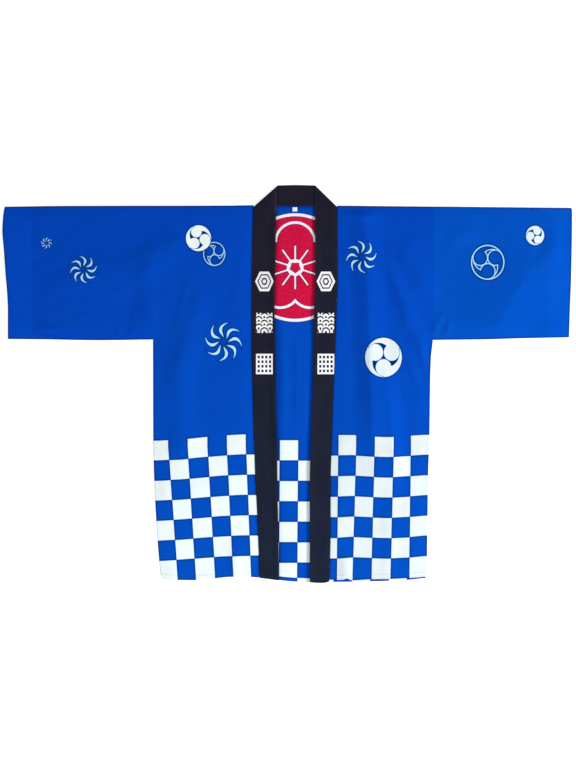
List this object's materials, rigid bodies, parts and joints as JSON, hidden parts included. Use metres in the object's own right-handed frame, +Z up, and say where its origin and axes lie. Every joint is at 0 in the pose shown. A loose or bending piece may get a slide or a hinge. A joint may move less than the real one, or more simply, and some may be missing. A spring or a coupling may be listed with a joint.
{
  "type": "happi coat laid flat",
  "caption": "Short open-fronted festival coat with straight sleeves and a long band collar, spread flat with its front up.",
  "frame": {"origin": "Under the middle of the spread coat, on the surface that it lies on.", "axes": "+X towards the viewer's right, from cuff to cuff; +Y from the hem to the neck; +Z up, away from the surface."},
  "size_m": [1.2809, 0.895, 0.0059],
  "materials": {
    "blue_cotton": "matt plain weave, printed",
    "black_cotton": "matt plain weave, printed",
    "white_tape": "smooth woven tape"
  },
  "bodies": {
    "root": {"back": "blue_cotton", "front_left": "blue_cotton", "front_right": "blue_cotton", "sleeve_left": "blue_cotton", "sleeve_right": "blue_cotton", "collar_left": "black_cotton", "collar_neck": "black_cotton", "collar_right": "black_cotton", "label": "white_tape"}
  },
  "joints": []
}
